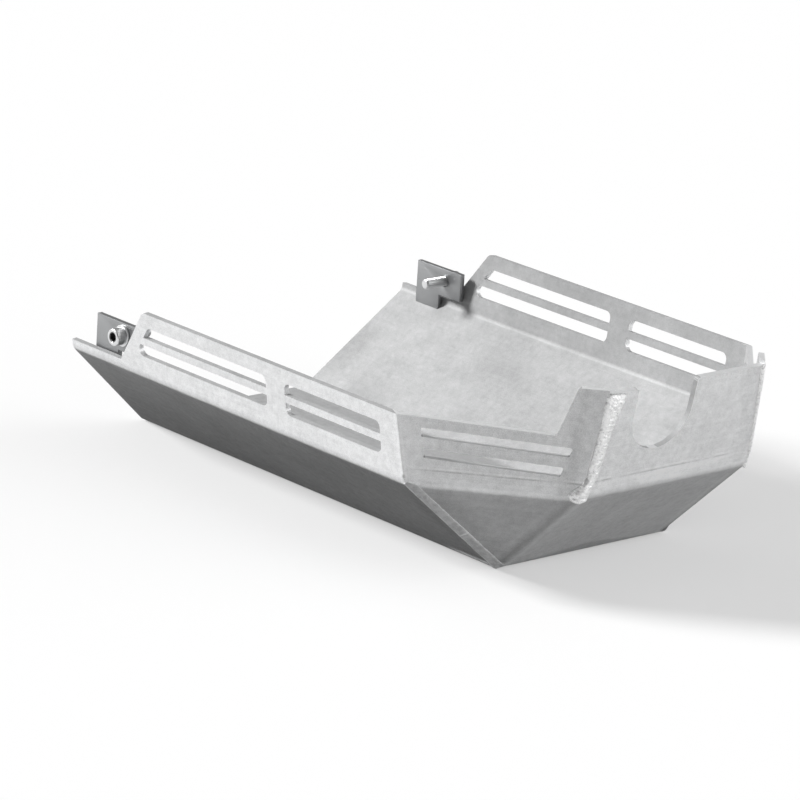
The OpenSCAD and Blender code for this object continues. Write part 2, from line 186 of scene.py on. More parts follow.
class Finish:
    """The node tree of a material, given by its new name, or of the world, made node by node."""

    def __init__(self, owner):
        self.owner = bpy.data.materials.new(owner) if isinstance(owner, str) else owner
        self.owner.use_nodes = True
        self.tree = self.owner.node_tree
        self.tree.nodes.clear()
        kind = "Material" if isinstance(owner, str) else "World"
        self.out = self.tree.nodes.new("ShaderNodeOutput" + kind)

    def node(self, kind, settings=None, *values, output=0, **named):
        """A node of the given kind, with its settings made first and then its sockets, by order or by name."""
        made = self.tree.nodes.new(kind)
        for key, value in (settings or {}).items():
            setattr(made, key, value)
        for place, value in list(enumerate(values)) + list(named.items()):
            socket = made.inputs[place if isinstance(place, int) else place.replace("_", " ")]
            if isinstance(value, Wire):
                self.tree.links.new(value.socket, socket)
            else:
                socket.default_value = value
        return Wire(self, made.outputs[output])

    def vectors(self, operation, *values, output=0):
        """One Vector Math node."""
        return self.node("ShaderNodeVectorMath", {"operation": operation}, *values, output=output)

    def ended(self, shader):
        """Ends the tree in a shader and gives its owner."""
        self.tree.links.new(shader.socket, self.out.inputs["Surface"])
        return self.owner

    def place(self):
        """Object coordinates, in metres."""
        return self.node("ShaderNodeTexCoord", output="Object")

    def parts(self, vector):
        """The three parts of a vector."""
        split = self.node("ShaderNodeSeparateXYZ", None, vector).socket.node
        return [Wire(self, socket) for socket in split.outputs]

    def joined(self, x, y, z):
        """A vector or a colour of three parts."""
        return self.node("ShaderNodeCombineXYZ", None, x, y, z)

    def clouds(self, vector, scale, detail=3.0, rough=0.55, stretch=(1, 1, 1)):
        """Noise from 0 to 1. scale is in cells per metre, and stretch turns cells into streaks."""
        grown = self.vectors("MULTIPLY", vector, tuple(scale * s for s in stretch))
        return self.node("ShaderNodeTexNoise", {"noise_dimensions": "3D"}, Vector=grown, Scale=1.0, Detail=detail,
                         Roughness=rough)

    def band(self, value, low, high):
        """0 below low and 1 above high, or the other way round where low is the higher one."""
        return self.node("ShaderNodeMapRange", {"interpolation_type": "SMOOTHSTEP"}, Value=value, From_Min=low,
                         From_Max=high)

    def near(self, distance, reach):
        """1 on a line and 0 from reach away."""
        return self.band(distance, reach, 0.0)

    def from_line(self, point, start, end):
        """Distance to the line through start and end."""
        along = (Vector(end) - Vector(start)).normalized()
        turned = self.vectors("CROSS_PRODUCT", self.vectors("SUBTRACT", point, tuple(start)), tuple(along))
        return self.vectors("LENGTH", turned, output="Value")

    def spot(self, point, centre, reach):
        """1 at a point and 0 from reach away."""
        return self.near(self.vectors("DISTANCE", point, tuple(centre), output="Value"), reach)

    def tint(self, colour, factor):
        """A colour made lighter or darker by a number."""
        return self.vectors("MULTIPLY", tuple(colour)[:3], self.joined(factor, factor, factor))

    def bump(self, height, distance):
        """A normal from a height. distance is what a height of 1 stands for."""
        return self.node("ShaderNodeBump", None, Strength=1.0, Distance=distance, Height=height)

    def metal(self, colour, roughness, normal=None, metallic=1.0, gloss=0.5):
        """Ends the tree in one shader and gives the material."""
        values = {"Base_Color": colour, "Roughness": roughness, "Metallic": metallic, "Specular_IOR_Level": gloss}
        if normal is not None:
            values["Normal"] = normal
        return self.ended(self.node("ShaderNodeBsdfPrincipled", None, **values))


def mill_sheet(name, inner):
    """Mill aluminium: cloudy grain, press marks above the waist, heat and grinding by the seams, painted shade and
    painted highlights, partly worn bright, by the folds, painted shade over the corner walls, and road film with
    painted shade on the underside.
    The inner skin has none of those marks, but dust and oil and painted shade darken it all over."""
    scene = bpy.context.scene
    tray, weld, look = scene.skid_tray, scene.skid_welds, scene.skid_finish
    at, f = tray_points(1.0), Finish(name)
    place = f.place()
    x, y, z = f.parts(place)
    half = f.joined(x, y.size(), z)
    grain_uv = f.node("ShaderNodeUVMap", {"uv_map": "sheet"})
    cloud = f.clouds(place, 26, 4, 0.6)
    mottle = f.clouds(place, 210, 3, 0.6)
    pores = f.clouds(place, 1500, 2, 0.5)
    grain = f.clouds(grain_uv, 1, 3, 0.7, stretch=(45, 2600, 1))
    brush = f.clouds(grain_uv, 1, 2, 0.5, stretch=(8, 420, 1))

    tone = 1 + cloud.about(0.26) + mottle.about(0.36) + pores.about(0.46) + grain.about(0.18) + brush.about(0.12)
    rough = look.sheet_rough + cloud.about(0.12) + mottle.about(0.10) + grain.about(0.12)
    height = mottle * 0.5 + pores * 0.16 + grain * 0.10 + brush * 0.06 + cloud * 1.6
    if inner:
        # The inner skin is darkened all over: dust and oil, and painted shade inside the tray.
        dust = f.band(f.clouds(place, 14, 5, 0.65), 0.30, 0.72)
        tone = tone * (1 - look.inner_dust_and_shade - dust * 0.10)
        return f.metal(f.tint(look.sheet_colour, tone), rough + 0.15, f.bump(height, look.grain_deep),
                       look.sheet_metal * (0.4 - dust * 0.2), 0.1)

    waist, mark = tray.waist_z, look.press_line
    waver = f.clouds(place, 30, 2).about(0.0012)
    above = z + waver - waist
    ahead = f.band(x, tray.joint_x - 0.002, tray.joint_x + 0.020)

    # The press mark over the waist: a dark line with a light one on it, broken up, over a scuffed band.
    patchy = f.band(f.clouds(place, 45, 3), 0.40, 0.58) * ahead
    press_dark = f.near((above - mark).size(), 0.00085) * patchy
    press_light = f.near((above - mark - 0.0016).size(), 0.0011) * patchy
    streaks = f.clouds(place, 60, 4, 0.7, stretch=(0.5, 0.5, 2.5))
    front_side = f.band(x, tray.front_x - 0.010, tray.front_x + 0.001)
    scuff = f.band(above, 0.0, 0.002) * f.band(above, mark, mark - 0.0015) * f.band(streaks, 0.40, 0.66)
    scuff = scuff * (0.35 + 0.65 * front_side) * ahead
    # Along the waist fold: a painted highlight, partly a band worn bright, broken up by streaks.
    rubbed_highlight = f.near((above + 0.002).size(), 0.0045) * (0.4 + 0.6 * streaks)

    # The folds and the seam below the waist: painted shade and a painted highlight by the fold from the nose to the
    # floor, a painted highlight along the floor's bend, and the wear on that bend.
    fold = f.from_line(half, at["nose"], at["floor"])
    # Painted shade and a painted highlight beside the fold from the nose to the floor.
    fold_painted_shade = f.near(fold, 0.006) * f.band(z, waist + 0.001, waist - 0.009)
    fold_painted_highlight = f.near((fold - 0.0085).size(), 0.0035) * f.band(z, waist - 0.001, waist - 0.013)
    seam = f.from_line(half, at["joint"], at["floor"])
    seam_low = f.band(z, waist + 0.007, waist - 0.003)
    heat = f.band(seam + cloud.about(0.02), 0.030, 0.008) * seam_low
    ground = f.near((seam - weld.seam_out).size(), 0.0014) * seam_low
    # A painted highlight along the floor's bend.
    floor_bend_highlight = f.near((z - 0.0045).size(), 0.0045)
    polished = f.near((z - 0.0038).size(), 0.0030) * f.band(x, tray.joint_x - 0.050, tray.joint_x - 0.018)
    polished = polished * f.band(y.size(), tray.floor_y, tray.floor_y + 0.0005)

    # The walls' joints, soot beside the bead, one dark spot painted as shade at the joint's foot, a few scratches, and
    # painted shade over the corner walls.
    joint = f.from_line(half, at["joint"], at["joint_peak"])
    flush = f.near((joint + waver * 2 - 0.0020).size(), 0.0012) * f.band(z, waist - 0.001, waist)
    # A dark spot painted as shade at the foot of the joint.
    painted_dent_shade = f.spot(half, at["joint"].lerp(at["joint_peak"], 0.10), 0.0024)
    bead = f.from_line(half, at["nose"], at["nose_peak"])
    soot = f.band(bead + mottle.about(0.008), 0.021, 0.011) * f.band(z, waist - 0.007, waist + 0.001)
    cells = f.parts(grain_uv)
    crack = f.node("ShaderNodeTexVoronoi", {"feature": "DISTANCE_TO_EDGE"},
                   Vector=f.joined(cells[0] * 14, cells[1] * 60, 0.0), Scale=1.0)
    scratch = f.near(crack, 0.006) * f.band(f.clouds(place, 38, 2), 0.58, 0.70)
    # Painted shade: the corner walls are darkened all over.
    corner_shade = f.band(y.size(), tray.nose_y, tray.nose_y + 0.005) * ahead * f.band(above, -0.002, 0.004)

    # What each mark adds to the tone, the roughness and the height.
    marks = (
        (press_dark, -0.24, 0, -0.8),
        (press_light, 0.12, 0, 0.3),
        (scuff, 0.14, -0.06, 0),
        (rubbed_highlight, 0.06, -0.08, 0),
        (fold_painted_shade, -0.20, 0, 0),
        (fold_painted_highlight, 0.08, 0, 0),
        (heat, -0.12, 0.06, 0),
        (ground, 0.06, -0.10, 0),
        (flush, 0.06, 0, 0),
        (floor_bend_highlight, 0.06, 0, 0),
        (soot, -0.07, 0.10, 0),
        (scratch, 0.10, -0.08, -0.2),
        (painted_dent_shade, -0.40, 0, 0),
        (corner_shade, -look.corner_shade, 0, 0),
    )
    for mask, lighter, duller, higher in marks:
        tone = tone + mask * lighter
        rough = rough + mask * duller if duller else rough
        height = height + mask * higher if higher else height

    # Road film and painted shade cover the underside, darkening its colour and taking its sheen. They are thicker on
    # the flanks, most of all at the rear.
    slant = (tray.floor_x - tray.joint_x) / (tray.waist_y - tray.floor_y)
    flank = f.band(x + (y.size() - tray.waist_y) * slant, tray.joint_x + 0.002, tray.joint_x - 0.002)
    rearward = f.band(x, tray.joint_x, -tray.joint_x)
    film_and_shade = f.band(z + waver, waist + 0.0005, waist - 0.0045)
    film_and_shade = film_and_shade * (1 + flank * (look.flank_film_and_shade + rearward * look.rear_film_and_shade)) * (1 - polished * 0.9)
    sheen = look.sheet_metal * (1 - (film_and_shade * look.film_and_shade_dull).lower(0.95))
    return f.metal(f.tint(look.sheet_colour, tone * (1 - film_and_shade * look.film_and_shade)), rough,
                   f.bump(height, look.grain_deep), sheen, 0.0)


def cut_edge():
    """The cut edge of the sheet: darker, with fine upright cutting marks."""
    look, f = bpy.context.scene.skid_finish, Finish("cut_edge")
    place = f.place()
    x, y, z = f.parts(place)
    marks = f.clouds(f.joined(x + y, y - x, z * 0.12), 1700, 2, 0.6)
    wave = f.clouds(place, 240, 3)
    tone = 0.82 + marks.about(0.30) + wave.about(0.12)
    rough = 0.50 + marks.about(0.2)
    return f.metal(f.tint(look.sheet_colour, tone), rough, f.bump(marks * 0.7 + wave, look.grain_deep), 0.3)


def weld_finish():
    """Weld metal: bright satin with a mottled frost, a few pits in the right bead painted dark as their shade, and
    painted shade on the end at its top.
    """
    look, weld, f = bpy.context.scene.skid_finish, bpy.context.scene.skid_welds, Finish("weld_metal")
    place = f.place()
    frost = f.band(f.clouds(place, 620, 3, 0.6), 0.34, 0.64)
    grit = f.clouds(place, 1700, 2, 0.6)
    lumps = f.clouds(place, 260, 3)
    spots = f.band(f.clouds(place, 520, 2), 0.62, 0.70)
    # Pits: dented by the bump and painted dark as their shade.
    shaded_pits = 0.0
    for rise, across in zip(weld.pit_rise, weld.pit_across):
        shaded_pits = f.spot(place, beside_joint(SIDES[0][1], rise, across)[0], weld.pit_reach) + shaded_pits
    top = tray_points(1.0)["nose_peak"].z
    # Painted shade on the bead's top end, where it turns up to the light.
    end = f.band(f.parts(place)[2] + lumps.about(0.003), top - 0.0030, top - 0.0006)
    tone = 1.04 + frost.about(0.42) + grit.about(0.30) + lumps.about(0.46) - spots * 0.22 - shaded_pits * 0.75 - end * 0.34
    rough = 0.36 + lumps.about(0.25) + spots * 0.20
    height = frost * 0.5 + grit * 0.25 + lumps * 1.4 - spots * 0.4 - shaded_pits * 1.5
    return f.metal(f.tint(look.weld_colour, tone), rough, f.bump(height, 0.00032), look.weld_metal, 0.3)


def ground_seam_finish():
    """The dressed seam: sanded flat, with painted highlights on its ridge, its borders and the one ripple across it,
    and the underside's darker tone of road film and painted shade, darker on the flank's side.
    """
    look, weld, f = bpy.context.scene.skid_finish, bpy.context.scene.skid_welds, Finish("ground_seam")
    place = f.place()
    along, over, _ = f.parts(f.node("ShaderNodeUVMap", {"uv_map": "seam"}))
    waver = f.clouds(place, 90, 2).about(0.0012)
    sanded = f.clouds(f.joined(along * 0.35, over, 0.0), 1100, 3, 0.65)
    cloud = f.clouds(place, 120, 4, 0.6)
    patches = f.band(f.clouds(place, 210, 3, 0.6), 0.36, 0.66)
    fine = f.clouds(place, 1500, 2)
    gusset_side = f.band(over, -0.0006, 0.0008)
    spine = f.near((over + waver).size(), 0.0006)
    border_highlight = f.near((over + waver - weld.seam_out).size(), 0.0008)
    border_highlight = border_highlight + f.near((over + waver + weld.seam_in).size(), 0.0006)
    cross = f.near((along + waver * 2 - weld.seam_cross).size(), 0.0011) * f.band(over, -0.0005, 0.0005)
    low_end = f.band(along, weld.seam_cross + 0.030, weld.seam_cross + 0.040)
    rubbed_highlight = low_end * (1 - gusset_side)
    # The base tone carries the underside's road film and painted shade. Spine, borders and ripple add painted
    # highlights.
    tone = (0.80 + gusset_side * 0.16 + sanded.about(0.20) + cloud.about(0.30) + patches.about(0.20)
            + fine.about(0.20) + spine * 0.30 + border_highlight * 0.20 + cross * 0.22)
    rough = 0.46 + sanded.about(0.2) + cloud.about(0.15)
    sheen = look.sheet_metal * (0.24 + gusset_side * 0.12 + rubbed_highlight * 0.5 + (spine + border_highlight + cross) * 0.25)
    height = sanded * 0.5 + cloud * 1.6 + patches * 0.5 + cross * 0.8
    return f.metal(f.tint(look.sheet_colour, tone), rough, f.bump(height, 0.00016), sheen, 0.0)


def bracket_finish():
    """Mill bar, its colour darkened as painted shade: streaks along its length and small dings."""
    look, f = bpy.context.scene.skid_finish, Finish("bracket_bar")
    place = f.place()
    streak = f.clouds(place, 1, 3, 0.7, stretch=(60, 900, 2200))
    cloud = f.clouds(place, 60, 4, 0.6)
    ding = f.band(f.clouds(place, 260, 2), 0.70, 0.76)
    tone = 1 + streak.about(0.16) + cloud.about(0.18) - ding * 0.15
    rough = 0.46 + streak.about(0.2) + cloud.about(0.12)
    return f.metal(f.tint(look.bracket_shaded_colour, tone), rough, f.bump(streak * 0.25 + cloud - ding * 0.5, 0.0001))


def plated_finish(name, rough_at):
    """Bright zinc plate with a faint stain."""
    look, f = bpy.context.scene.skid_finish, Finish(name)
    place = f.place()
    stain = f.clouds(place, 190, 4, 0.6)
    fine = f.clouds(place, 2600, 2)
    tone = 1 + stain.about(0.20) + fine.about(0.06)
    rough = rough_at + stain.about(0.18) + fine.about(0.05)
    return f.metal(f.tint(look.plate_colour, tone), rough, f.bump(stain * 0.6 + fine * 0.15, 0.00005))


def socket_shade_finish():
    """The inside of the socket: painted shade, dark and dull, with a mottled smear."""
    look, f = bpy.context.scene.skid_finish, Finish("socket_shade")
    smear = f.clouds(f.place(), 500, 3)
    return f.metal(f.tint(look.plate_colour, 0.13 + smear.about(0.10)), 0.55, None, 0.6)


# ---- mesh helpers

def meshed(bm, name):
    """A new mesh of the bmesh, which is freed."""
    mesh = bpy.data.meshes.new(name)
    bm.to_mesh(mesh)
    bm.free()
    return mesh


def placed(name, data):
    """A new object in the scene."""
    made = bpy.data.objects.new(name, data)
    bpy.context.scene.collection.objects.link(made)
    return made


def finished(bm, name, node, slot, *materials):
    """Closes a piece: object at the origin, riding on the body, standing for its CAD node."""
    bmesh.ops.recalc_face_normals(bm, faces=bm.faces)
    piece = placed(name, meshed(bm, name))
    for material in materials:
        piece.data.materials.append(material)
    piece.data.shade_smooth()
    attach(piece, "root")
    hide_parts(node)
    return piece


def merged_copy(node):
    """A CAD node's mesh with its loose triangles merged and its flat faces made whole."""
    bm = bmesh.new()
    bm.from_mesh(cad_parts[node].data)
    bmesh.ops.remove_doubles(bm, verts=bm.verts, dist=1e-6)
    bmesh.ops.dissolve_limit(bm, angle_limit=0.006, verts=bm.verts, edges=bm.edges)
    return bm


def ease_edges(bm, width, over):
    """Rounds every edge that turns by more than the angle over."""
    sharp = [e for e in bm.edges if e.is_manifold and e.calc_face_angle(0) > over]
    bmesh.ops.bevel(bm, geom=sharp, offset=width, offset_type="OFFSET", segments=EASE_STEPS, profile=0.5,
                    affect="EDGES", clamp_overlap=True, material=-1)


def smooth_by_angle(piece, angle=CRISP):
    """Keeps edges that turn by more than the angle crisp."""
    mesh = piece.data
    bm = bmesh.new()
    bm.from_mesh(mesh)
    for edge in bm.edges:
        edge.smooth = not edge.is_manifold or edge.calc_face_angle(0) < angle
    bm.to_mesh(mesh)
    bm.free()


def eased_piece(name, node, slot, width, over, metal):
    """A CAD node with its edges eased, in one finish."""
    bm = merged_copy(node)
    ease_edges(bm, width, over)
    smooth_by_angle(finished(bm, name, node, slot, metal))


def tube(rings, count):
    """A tube of rings with flat ends. Each ring is a function of the angle round it that gives a point."""
    bm = bmesh.new()
    loop = bmesh.ops.create_circle(bm, cap_ends=False, segments=count, radius=0.001)["verts"]
    first = list(loop)
    for turn, vert in enumerate(loop):
        vert.co = rings[0](math.tau * turn / count)
    edges = [e for e in bm.edges if e.verts[0] in loop and e.verts[1] in loop]
    for ring in rings[1:]:
        grown = bmesh.ops.extrude_edge_only(bm, edges=edges)["geom"]
        pairs = {}
        fresh = [g for g in grown if isinstance(g, bmesh.types.BMVert)]
        for vert in fresh:
            for edge in vert.link_edges:
                other = edge.other_vert(vert)
                if other in loop:
                    pairs[other] = vert
        loop = [pairs[vert] for vert in loop]
        for turn, vert in enumerate(loop):
            vert.co = ring(math.tau * turn / count)
        edges = [g for g in grown if isinstance(g, bmesh.types.BMEdge)
                 and g.verts[0] in fresh and g.verts[1] in fresh]
    for end in (first, loop):
        bmesh.ops.contextual_create(bm, geom=end)
    return bm


# ---- sizes and colours

def metres(name, about, size):
    return FloatProperty(name=name, description=about, default=size, unit="LENGTH")


def degrees(name, about, angle):
    return FloatProperty(name=name, description=about, default=math.radians(angle), subtype="ANGLE")


def number(name, about, value):
    return FloatProperty(name=name, description=about, default=value)


def three(name, about, values, kind="NONE"):
    """Three numbers of one kind, such as a colour, a direction or three lengths."""
    return FloatVectorProperty(name=name, description=about, default=values, subtype=kind)


class SkidTray(bpy.types.PropertyGroup):
    joint_x: metres("Joint", "Where side and corner panel meet, ahead of the middle", 0.1895)
    front_x: metres("Front fold", "The front wall's waist fold, ahead of the middle", 0.2765)
    floor_x: metres("Nose fold", "The front end of the flat floor", 0.199)
    waist_y: metres("Half waist", "Half of the width at the waist", 0.161)
    nose_y: metres("Half nose", "Half of the front wall's width at the waist", 0.080)
    floor_y: metres("Half floor", "Half of the flat floor's width", 0.079)
    waist_z: metres("Waist", "Height of the waist folds", 0.073)
    side_wall: metres("Side wall", "Height of a side wall up the sheet", 0.050)
    front_wall: metres("Front wall", "Height of the front wall up the sheet", 0.078)
    side_lean: degrees("Side lean", "Lean of a side wall outward", 9)
    front_lean: degrees("Front lean", "Lean of the front wall", 11)
    corner_lean: degrees("Corner lean", "Lean of a corner wall", 4)
    sheet: metres("Sheet", "Thickness of the sheet", 0.004)
    eased: metres("Eased edge", "Width of the rub on the sheet's cut edges", 0.00035)


class SkidWelds(bpy.types.PropertyGroup):
    bead_half: metres("Bead half width", "Half of the heavy bead's width", 0.0056)
    bead_proud: metres("Bead height", "How far the heavy bead stands out", 0.0036)
    bead_shift: metres("Bead shift", "How far the heavy bead lies on the front wall", 0.0060)
    low_width: number("Low width", "Width of the bead low down, as a share of the full width", 0.78)
    widening: number("Widening", "How much wider the bead grows up to its top, as a share", 0.42)
    flare: number("Flare", "How much wider the blob at the top is, as a share", 0.45)
    flare_long: metres("Flare length", "Length of the bead over which the blob at the top fades", 0.014)
    toe: number("Toe", "How softly the bead's sides run into the walls, from 1 for an oval", 1.2)
    ring_pitch: metres("Ring pitch", "Distance between the rings that draw the bead", 0.00045)
    overrun: metres("Overrun", "How far the bead runs past the height of the wall", 0.0006)
    wander: metres("Wander", "How far the bead strays sideways", 0.0004)
    creep: metres("Creep", "How much farther over the front wall the bead lies at its top", 0.0010)
    top_shift: metres("Top shift", "How much farther over still the blob at the top lies", 0.0014)
    end_long: metres("End", "Length of the bead's rounded end", 0.0024)
    flat_long: metres("Flattening", "Length of the bead over which it flattens to its end", 0.012)
    foot_low: metres("Foot", "How far the bead's foot reaches below the waist corner", 0.0038)
    foot_at: metres("Foot middle", "Height of the foot's thickest place over the waist corner", 0.0010)
    foot_half: metres("Foot width", "How much wider the foot is than the bead, on each side", 0.0032)
    foot_long: metres("Foot length", "Length of the bead over which its foot fades", 0.0056)
    foot_turn: metres("Foot turn", "Height over which the foot turns onto the front wall", 0.017)
    ripple: metres("Ripple pitch", "Distance between the heavy bead's ripples", 0.0021)
    ripple_deep: metres("Ripple depth", "Depth of the valleys between ripples", 0.00016)
    lump: metres("Lumps", "Height of the bead's lumps", 0.00056)
    grit: metres("Grit", "Height of the fine grit on the bead", 0.00024)
    pit_rise: three("Pit heights", "Heights of the pits by the right bead", (0.0725, 0.0040, 0.0720))
    pit_across: three("Pit places", "How far the pits lie over the front wall", (0.0002, 0.0105, 0.0150))
    pit_reach: metres("Pit reach", "Radius of a pit", 0.0019)
    far_share: number("Far bead", "Size of the left bead as a share of the right one", 0.40)
    far_shift: metres("Far bead shift", "How far the left bead lies on the front wall", -0.0022)
    seam_in: metres("Seam on the flank", "Reach of the ground seam onto the flank", 0.0030)
    seam_out: metres("Seam on the corner", "Reach of the ground seam onto the corner panel", 0.0072)
    seam_proud: metres("Seam height", "How far the ground seam stands out", 0.0004)
    seam_gap: metres("Seam gap", "What the seam leaves free at each end of the joint", 0.0005)
    seam_root: metres("Seam root", "How far the back of the ground seam lies in the sheet", 0.0012)
    seam_shake: metres("Seam waver", "How far the seam's borders stray", 0.0006)
    seam_cross: metres("Seam ripple", "Where the one ripple crosses the seam, from its top", 0.066)
    cross_proud: metres("Seam ripple height", "How far that ripple stands out", 0.0003)
    cross_wide: metres("Seam ripple width", "Reach of that ripple along the seam", 0.0012)


class SkidFinish(bpy.types.PropertyGroup):
    sheet_colour: three("Sheet", "Reflected colour of the sheet", (0.88, 0.885, 0.89), "COLOR")
    weld_colour: three("Weld", "Reflected colour of the weld metal", (0.97, 0.972, 0.975), "COLOR")
    # The bracket colour is darker than the sheet's as painted shade.
    bracket_shaded_colour: three("Bracket", "Reflected colour of the brackets", (0.34, 0.345, 0.35), "COLOR")
    plate_colour: three("Zinc plate", "Reflected colour of screws and washers", (0.74, 0.745, 0.75), "COLOR")
    sheet_metal: number("Sheet sheen", "Share of the sheet's light that is mirrored", 0.50)
    weld_metal: number("Weld sheen", "Share of the weld's light that is mirrored", 0.62)
    sheet_rough: number("Sheet roughness", "Dullness of the sheet", 0.45)
    grain_deep: metres("Grain depth", "Depth of the sheet's grain", 0.00012)
    press_line: metres("Press line", "Height of the press mark over the waist", 0.011)
    # Painted shade that darkens the corner walls.
    corner_shade: number("Weld haze", "How much heat has dulled the corner walls", 0.10)
    # The road film values below also paint shade on the underside.
    film_and_shade: number("Road film", "How much the film on the underside darkens it", 0.08)
    film_and_shade_dull: number("Film dullness", "How much of its sheen the film takes", 0.64)
    flank_film_and_shade: number("Flank film", "How much thicker the film is on the flanks", 0.95)
    rear_film_and_shade: number("Rear film", "How much thicker still it is at the flanks' rear", 0.4)
    # Painted shade as well as dust and oil.
    inner_dust_and_shade: number("Inner film", "How much dust and oil darken the inner skin", 0.48)


class SkidScrew(bpy.types.PropertyGroup):
    shank: metres("Shank", "Radius of the shank over its thread", 0.004)
    pitch: metres("Pitch", "Pitch of the thread", 0.00125)
    head_high: metres("Head", "Height of the screw's head", 0.008)
    socket: metres("Socket", "Width of the socket across its flats", 0.006)
    socket_deep: metres("Socket depth", "Depth of the socket", 0.004)
    socket_lip: metres("Socket lip", "Radius of the lip that is turned round the socket", 0.0039)
    knurl_deep: metres("Knurl depth", "Depth of the grooves round the head", 0.00022)
    teeth: IntProperty(name="Knurl", description="Grooves round the head", default=48)


class SkidStage(bpy.types.PropertyGroup):
    azimuth: degrees("Azimuth", "Turn of the camera from the front to the right", 41.771)
    elevation: degrees("Elevation", "Height angle of the camera", 16.695)
    roll: degrees("Roll", "Tilt of the picture", 3.676)
    distance: metres("Distance", "From the aim point to the camera", 3.3952)
    aim: three("Aim", "The point in the middle of the picture", (0.06933, -0.0620, 0.08493), "XYZ")
    sensor: number("Sensor", "Width of the camera's sensor, in millimetres", 36.0)
    lens: number("Lens", "Focal length, in millimetres", 216.0)
    key: number("Key lamp", "Strength of the lamp over the rear right", 4.25)
    key_toward: three("Key direction", "The way to the key lamp", (-0.68, -0.54, 0.50), "XYZ")
    key_wide: degrees("Key width", "Angle that the key lamp spans", 14)
    air: number("Air", "Strength of the world's even light", 0.35)
    panel: number("Soft panel", "Strength of the world's panel low at the front left", 1.9)
    panel_toward: three("Panel direction", "The way to the soft panel", (0.80, 0.58, 0.08), "XYZ")
    panel_full: degrees("Full panel", "Angle from its middle within which the panel is full", 15)
    panel_end: degrees("Panel's end", "Angle from its middle at which the panel ends", 55)
    flag: number("Flag", "How much a dark flag low at the front right takes from the air", 0.32)
    flag_toward: three("Flag direction", "The way to the dark flag", (0.62, -0.76, 0.15), "XYZ")
    flag_full: degrees("Full flag", "Angle from its middle within which the flag is full", 20)
    flag_end: degrees("Flag's end", "Angle from its middle at which the flag ends", 65)
    floor_seen: number("Floor", "Share of light that the seen floor shows", 0.50)
    floor_glow: number("Floor glow", "Paleness of the seen floor without light", 0.43)
    floor_bounce: number("Floor bounce", "Share of light that the floor throws back", 0.12)
    floor_half: metres("Floor size", "Half of the floor's width", 12.0)
    floor_drop: metres("Floor drop", "How far the floor lies under the plate", 0.0004)


# ---- the pieces

class SKID_OT_sheet(bpy.types.Operator):
    """Dresses the folded sheet: eased cut edges, a grain that follows each panel, and its finishes"""
    bl_idname = "skid.sheet"
    bl_label = "Folded sheet"

    def execute(self, context):
        tray = context.scene.skid_tray
        bm = merged_copy("skid_shell")
        ease_edges(bm, tray.eased, math.radians(38))
        grain = bm.loops.layers.uv.new("sheet")
        floor = Vector((0, 0, -1))
        panels = [n for side in (1.0, -1.0) for name, n in panel_normals(side).items() if name != "floor"]
        for face in bm.faces:
            face.normal_update()
            normal = face.normal
            low = face.calc_center_median().z < tray.sheet * 1.5
            best = max(panels + [floor] * low, key=lambda n: abs(n.dot(normal)))
            lean = best.dot(normal)
            face.material_index = CUT if abs(lean) < 0.80 else OUTER if lean > 0 else INNER
            along = best.cross(Vector((0, 0, 1)))
            along = Vector((1, 0, 0)) if along.length < 0.01 else along.normalized()
            up = best.cross(along)
            for loop in face.loops:
                loop[grain].uv = (loop.vert.co.dot(along), loop.vert.co.dot(up))
        piece = finished(bm, "plate_sheet", "skid_shell", "sheet_aluminium", mill_sheet("mill_sheet", False),
                         cut_edge(), mill_sheet("inner_skin", True))
        smooth_by_angle(piece)
        flat = piece.modifiers.new("flat faces", "WEIGHTED_NORMAL")
        flat.mode, flat.weight, flat.keep_sharp = "FACE_AREA", 100, True
        return {"FINISHED"}


